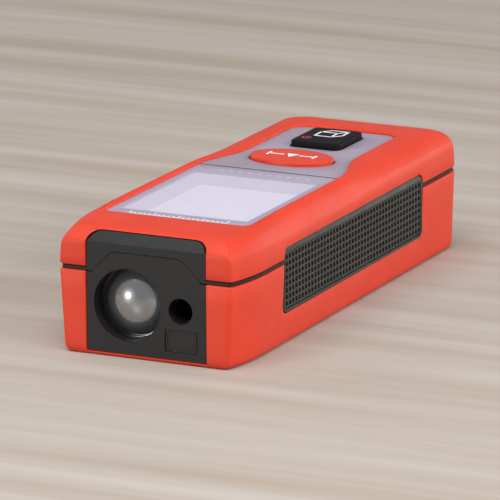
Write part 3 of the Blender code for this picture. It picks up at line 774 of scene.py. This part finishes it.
def make_window():
    """Bordered window with the display in a shallow pocket, and the marks on its border."""
    pocket_depth, pocket_corner, window_bevel = 0.3, 0.25, 0.06
    half = arc((WINDOW_HIGH[0] - WINDOW_CORNER, WINDOW_LOW[1] + WINDOW_CORNER), WINDOW_CORNER,
               -90, 0, 8) + [(WINDOW_HIGH[0], WINDOW_HIGH[1])]
    window = new_object("window_plate", prism(mirrored(half), WINDOW_LOW[2], PANEL_TOP))
    boolean(window, prism(rounded_rectangle(LCD_LOW, LCD_HIGH, pocket_corner),
                          PANEL_TOP - pocket_depth, ABOVE_METER))
    add_bevel(window, window_bevel)
    finish_piece(window, "housing", finish("border_print"), ["display_window"])

    glass_low, glass_high = PANEL_TOP - 0.27, PANEL_TOP - 0.2
    margin, sheet_corner = 0.02, 0.24
    sheet = prism(rounded_rectangle((LCD_LOW[0] + margin, LCD_LOW[1] + margin),
                                    (LCD_HIGH[0] - margin, LCD_HIGH[1] - margin), sheet_corner),
                  glass_low, glass_high)
    view = new_object("display_view", sheet)
    finish_piece(view, "housing", finish("lcd_glass"))
    # Painted light: a lighter sheet over the display for the part outside the border's shadow; the
    # darker band round it is painted shadow
    lit_field_corner, lit_field_low, lit_field_high = 0.1, 0.02, 0.08
    lit_field = new_object("display_painted_light",
                        prism(rounded_rectangle(LIT_FIELD_LOW, LIT_FIELD_HIGH, lit_field_corner),
                              glass_high + lit_field_low, glass_high + lit_field_high))
    finish_piece(lit_field, "housing", finish("lcd_active"))

    line_y, line_end, tick_y, stroke = 13.5, 10.1, 13.6, 0.2
    first_tick, tick_count, tick_group = -10.0, 21, 5
    long_tick, short_tick = 1.5, 0.8
    ticks = []
    for number in range(tick_count):
        x = first_tick + number
        reach = long_tick if number % tick_group == 0 else short_tick
        ticks.append(bar((x, tick_y), (x, tick_y + reach), stroke))
    ticks.append(bar((-line_end, line_y), (line_end, line_y), stroke))
    thin_print("border_scale", ticks, PANEL_TOP, "white_print", "housing")
    dash_count, dash_pitch, dash_start, dash_end = 10, 2.0, -9.0, -8.1
    dash_y, dash_width = 50.0, 0.7
    rear = [bar((dash_start + dash_pitch * step, dash_y), (dash_end + dash_pitch * step, dash_y),
                dash_width) for step in range(dash_count)]
    thin_print("border_dashes", rear, PANEL_TOP, "pale_print", "housing")


def make_panel_seam():
    """Dark joint line between the window and the keypad panel."""
    side_gap, front_overlap, rear_reach, depth, proud = 0.1, 0.12, 0.3, 0.5, 0.012
    half_width = WINDOW_HIGH[0] - side_gap
    low = (-half_width, WINDOW_HIGH[1] - front_overlap, PANEL_TOP - depth)
    high = (half_width, WINDOW_HIGH[1] + rear_reach, PANEL_TOP + proud)
    finish_piece(new_object("panel_seam", box(low, high)), "housing", finish("black_plastic"))


def measure_radii():
    return ((MEASURE_HIGH[0] - MEASURE_LOW[0]) / 2 - FLANGE_LIP,
            (MEASURE_HIGH[1] - MEASURE_LOW[1]) / 2 - FLANGE_LIP)


def mode_outline(margin):
    low = (MODE_LOW[0] + FLANGE_LIP, MODE_LOW[1] + FLANGE_LIP)
    high = (MODE_HIGH[0] - FLANGE_LIP, MODE_HIGH[1] - FLANGE_LIP)
    half = arc((high[0] - MODE_CORNER, low[1] + MODE_CORNER), MODE_CORNER + margin, -90, 0, 8)
    half += arc((high[0] - MODE_CORNER, high[1] - MODE_CORNER), MODE_CORNER + margin, 0, 90, 8)
    return mirrored(half)


def measure_outline(margin):
    radius_x, radius_y = measure_radii()
    centre = (0.0, (MEASURE_LOW[1] + MEASURE_HIGH[1]) / 2)
    return ellipse(centre, (radius_x + margin, radius_y + margin), 96)


def make_keypad_panel():
    """Matte panel behind the window, with a hole round each key."""
    side_gap, key_gap, hole_bottom, panel_bevel = 0.02, 0.3, 20, 0.07
    half = panel_side(KEYPAD_LOW[1], KEYPAD_HIGH[1] - KEYPAD_CORNER, -side_gap, 40)
    half += arc((KEYPAD_HALF_WIDTH - KEYPAD_CORNER, KEYPAD_HIGH[1] - KEYPAD_CORNER),
                KEYPAD_CORNER - side_gap, 0, 90, 10)[1:]
    panel = new_object("keypad_sheet", prism(mirrored(half), KEYPAD_LOW[2], PANEL_TOP))
    boolean(panel, prism(measure_outline(key_gap), hole_bottom, ABOVE_METER))
    boolean(panel, prism(mode_outline(key_gap), hole_bottom, ABOVE_METER))
    add_bevel(panel, panel_bevel)
    finish_piece(panel, "housing", finish("panel_plastic"), ["keypad_panel"])


def key_rows(bottom, edge_start, angles, edge_width, edge_height):
    """Flange, straight wall and rounded edge of a key: each row is (margin, level)."""
    rows = [(FLANGE_LIP, bottom), (FLANGE_LIP, bottom + KEY_FLANGE_HEIGHT),
            (0.0, bottom + KEY_FLANGE_HEIGHT), (0.0, edge_start)]
    for angle in angles:
        turn = math.radians(angle)
        rows.append((-edge_width * (1 - math.cos(turn)),
                     edge_start + edge_height * math.sin(turn)))
    return rows


def make_measure_button():
    """Oval key with a softly rounded edge and a slightly crowned top."""
    top = MEASURE_HIGH[2]
    edge_start, edge_width, edge_height = top - 0.42, 0.4, 0.34
    rows = key_rows(MEASURE_LOW[2], edge_start, (20, 40, 60, 80), edge_width, edge_height)
    rows += [(-1.2, top - 0.05), (-2.4, top - 0.02), (-3.8, top)]
    button = new_object("measure_key_cap", layered(rows, measure_outline))
    finish_piece(button, "measure_key", finish("button_red"), ["measure_button"])

    y = (MEASURE_LOW[1] + MEASURE_HIGH[1]) / 2
    line_start, line_end, end_bar, end_reach, stroke = 1.6, 4.6, 4.8, 1.1, 0.45
    arrow_tip, arrow_back, arrow_half_width = 1.5, 0.9, 1.25
    embedded, thickness = 0.035, 0.055
    strokes = [bar((-line_end, y), (-line_start, y), stroke),
               bar((line_start, y), (line_end, y), stroke),
               bar((-end_bar, y - end_reach), (-end_bar, y + end_reach), stroke),
               bar((end_bar, y - end_reach), (end_bar, y + end_reach), stroke),
               [(0.0, y - arrow_tip), (arrow_half_width, y + arrow_back),
                (-arrow_half_width, y + arrow_back)]]
    item = thin_print("measure_key_symbol", strokes, top - embedded, "white_print",
                      "measure_key", thickness)


def make_mode_button():
    """Almost square key with rounded corners, a box outline and a small power sign."""
    top = MODE_HIGH[2]
    edge_start, edge_width, edge_height, flat_margin = top - 0.35, 0.35, 0.33, -0.7
    rows = key_rows(MODE_LOW[2], edge_start, (25, 50, 75), edge_width, edge_height)
    rows.append((flat_margin, top))
    button = new_object("mode_key_cap", layered(rows, mode_outline))
    finish_piece(button, "mode_key", finish("button_black"), ["mode_button"])

    middle_y = (MODE_LOW[1] + MODE_HIGH[1]) / 2
    print_thickness = 0.02
    left, right, near, far = -2.3, 1.2, middle_y - 0.6, middle_y + 2.6
    depth, stroke = 1.7, 0.42
    face = [(left, near), (right, near), (right, far), (left, far)]
    back = [(x + depth, y + depth) for x, y in face]
    strokes = [bar(face[i], face[(i + 1) % 4], stroke) for i in range(4)]
    strokes += [bar(face[i], back[i], stroke) for i in (1, 2, 3)]
    strokes += [bar(back[1], back[2], stroke), bar(back[2], back[3], stroke)]
    thin_print("mode_key_cube", strokes, top, "white_print", "mode_key", print_thickness)

    centre = (-3.1, middle_y - 2.6)
    ring_radius, ring_start, ring_end, sign_stroke = 0.8, 125, 415, 0.24
    bar_start, bar_end = 0.1, 1.0
    ring = arc(centre, ring_radius, ring_start, ring_end, 14)
    power = [bar(a, b, sign_stroke) for a, b in zip(ring, ring[1:])]
    power.append(bar((centre[0], centre[1] + bar_start), (centre[0], centre[1] + bar_end),
                     sign_stroke))
    thin_print("mode_key_power", power, top, "red_print", "mode_key", print_thickness)


# ------------------------------------------------- optics and bezel

def make_receiver_lens():
    """Strongly domed lens on a narrow flange."""
    centre = ((LENS_LOW[0] + LENS_HIGH[0]) / 2, (LENS_LOW[2] + LENS_HIGH[2]) / 2)
    flange = (LENS_HIGH[0] - LENS_LOW[0]) / 2
    dome, rise = 6.5, 3.06
    setback, flange_step, tip_radius = 0.04, 0.01, 0.05
    apex = LENS_LOW[1] + setback
    sphere = (dome ** 2 + rise ** 2) / (2 * rise)
    widest = math.asin(dome / sphere)
    rows = [(flange, LENS_HIGH[1]), (flange, apex + rise + flange_step)]
    steps = 18
    for step in range(steps):
        turn = widest * (1 - step / steps)
        rows.append((sphere * math.sin(turn), apex + sphere * (1 - math.cos(turn))))
    rows.append((tip_radius, apex))
    lens = new_object("lens_dome", layered(rows, lambda radius: ellipse(centre, radius, 96), "Y"))
    finish_piece(lens, "housing", finish("lens_glass"), ["receiver_lens"])


def make_bezel_relief():
    """Plain raised frame in the shallow pocket of the bezel."""
    low, high = (3.95, 2.45), (10.15, 6.25)
    outer_corner, inner_corner, frame_width = 0.35, 0.2, 0.3
    pocket_depth, raised, sunk, plate, ahead = 0.25, 0.12, 0.03, 0.01, -2
    pocket_floor = BEZEL_FACE + pocket_depth
    frame_ring = new_object("bezel_relief",
                            prism(rounded_rectangle(low, high, outer_corner),
                                  pocket_floor - raised, pocket_floor + sunk, "Y"))
    inner = rounded_rectangle((low[0] + frame_width, low[1] + frame_width),
                              (high[0] - frame_width, high[1] - frame_width), inner_corner)
    boolean(frame_ring, prism(inner, ahead, pocket_floor - plate, "Y"))
    finish_piece(frame_ring, "housing", finish("black_plastic"), sharp=30)


def make_battery_cover():
    """Sliding cover with a ribbed thumb patch on its underside."""
    half_width = COVER_HIGH[0] - COVER_RAIL
    thickness = COVER_HIGH[2]
    edge, cover_bevel = 1.2, 0.1
    rail_setback, rail_bottom, rail_short, rail_drop = 0.2, 1.1, 4, 0.05
    groove_count, first_groove, groove_pitch = 7, 5.0, 1.5
    groove_half_length, groove_width, groove_corner, groove_depth, below = 5.5, 0.7, 0.34, 0.4, -1
    side_view = [(COVER_LOW[1], 0.0)] + arc((LENGTH - edge, edge), edge, -90, 0, 10)
    side_view += [(LENGTH, thickness), (COVER_LOW[1], thickness)]
    cover = new_object("cover_shell", prism(side_view, -half_width, half_width, "X"))
    boolean(cover, box((COVER_LOW[0], COVER_LOW[1] + rail_setback, rail_bottom),
                       (COVER_HIGH[0], LENGTH - rail_short, thickness - rail_drop)), "UNION")
    grooves = bmesh.new()
    for number in range(groove_count):
        y = COVER_LOW[1] + first_groove + groove_pitch * number
        prism(rounded_rectangle((-groove_half_length, y), (groove_half_length, y + groove_width),
                                groove_corner), below, groove_depth, "Z", grooves)
    boolean(cover, grooves)
    add_bevel(cover, cover_bevel)
    finish_piece(cover, "cell_cover", finish("soft_red"), ["battery_cover"])


# ------------------------------------------------- CAD nodes that stay visible

def finish_cad_nodes():
    """Every CAD node that stays gets its material; the case edges are rounded."""
    slots = {entry["node"]: entry["material_slot"] for entry in frame["record"]["subparts"]}
    for name, node in frame["nodes"].items():
        if node.hide_render:
            continue
        node.data.materials.clear()
        node.data.materials.append(finish(slots[name]))
        node.data.shade_smooth()
        node.data.set_sharp_from_angle(angle=math.radians(CAD_SHARP_ANGLE))
        if name in ("upper_case", "lower_case"):
            add_bevel(node, CASE_BEVEL, CAD_SHARP_ANGLE)
            node.modifiers.new("even_shading", "WEIGHTED_NORMAL").keep_sharp = True


# ------------------------------------------------- camera, light and floor

# Angles in degrees, distance and lens in millimetres, fitted to the photo's edges
CAMERA_AZIMUTH, CAMERA_ELEVATION, CAMERA_ROLL = 25.756, 14.659, -0.419
CAMERA_DISTANCE = 1090.8
CAMERA_TARGET = (21.63, -0.53, 23.55)
CAMERA_LENS = 433.3
CAMERA_SENSOR = 36.0


def make_camera():
    azimuth, elevation = math.radians(CAMERA_AZIMUTH), math.radians(CAMERA_ELEVATION)
    back = Vector((math.sin(azimuth) * math.cos(elevation),
                   -math.cos(azimuth) * math.cos(elevation), math.sin(elevation)))
    data = bpy.data.cameras.new("camera")
    data.lens = CAMERA_LENS
    data.sensor_width = CAMERA_SENSOR
    data.clip_end = 50.0
    camera = bpy.data.objects.new("camera", data)
    camera.location = point(*CAMERA_TARGET) + back * CAMERA_DISTANCE * MM
    turn = back.to_track_quat("Z", "Y").to_matrix().to_4x4()
    roll = Matrix.Rotation(math.radians(CAMERA_ROLL), 4, "Z")
    camera.matrix_world = Matrix.Translation(camera.location) @ turn @ roll
    bpy.context.scene.collection.objects.link(camera)
    bpy.context.scene.camera = camera


LIGHT_AIM = (0, LENGTH / 2, 12)
LENS_AIM = (-4, 0, 10)
# Name, place, aim, size in metres, power in watts and shape
LIGHTS = (
    ("overhead", (10, -230, 570), LIGHT_AIM, (0.6, 0.42), 3.0, "RECTANGLE"),
    ("front_left", (-310, -530, 65), LENS_AIM, (0.13, 0.13), 1.15, "DISK"),
    ("right_side", (620, 20, 270), LIGHT_AIM, (0.5, 0.35), 3.0, "RECTANGLE"),
    ("left_fill", (-620, 120, 330), LIGHT_AIM, (0.5, 0.35), 0.9, "RECTANGLE"),
    ("rear_right", (420, 820, 130), LIGHT_AIM, (0.35, 0.2), 1.0, "RECTANGLE"),
)
WORLD_COLOUR = (0.93, 0.93, 0.95, 1.0)
WORLD_STRENGTH = 0.38


def area_light(name, place_mm, aim_mm, size, power, shape):
    data = bpy.data.lights.new(name, "AREA")
    data.shape = shape
    data.size, data.size_y = size
    data.energy = power
    light = bpy.data.objects.new(name, data)
    light.location = point(*place_mm)
    aim = point(*aim_mm) - light.location
    light.rotation_euler = aim.to_track_quat("-Z", "Y").to_euler()
    bpy.context.scene.collection.objects.link(light)


def make_lights():
    for settings in LIGHTS:
        area_light(*settings)
    world = bpy.data.worlds.new("studio")
    world.use_nodes = True
    background = world.node_tree.nodes["Background"]
    background.inputs["Color"].default_value = WORLD_COLOUR
    background.inputs["Strength"].default_value = WORLD_STRENGTH
    bpy.context.scene.world = world


def make_floor():
    """Wooden table top just below the meter, with its grain along X."""
    reach, bottom, top = 3000, -4.0, -0.02
    grain_width, grain_stretch = 9.0, 0.045
    dark_wood, light_wood = (0.41, 0.345, 0.285), (0.50, 0.455, 0.41)
    floor = new_object("floor", box((-reach, -reach, bottom), (reach, reach, top)))
    nodes = Nodes("table_top")
    grain = nodes.streaks(grain_width, grain_stretch)
    wood = nodes.ramp(grain, [(0.3, dark_wood), (0.7, light_wood)])
    nodes.link(wood, nodes.shader.inputs["Base Color"])
    nodes.set(Roughness=0.7, Specular_IOR_Level=0.12)
    floor.data.materials.append(nodes.material)


bpy.context.scene.view_settings.view_transform = "Standard"
make_camera()
make_lights()
make_floor()
make_upper_skin()
make_lower_skin()
make_grip(1, "grip_right", "side_grip_right")
make_grip(-1, "grip_left", "side_grip_left")
make_window()
make_panel_seam()
make_keypad_panel()
make_measure_button()
make_mode_button()
make_receiver_lens()
make_bezel_relief()
make_battery_cover()
finish_cad_nodes()
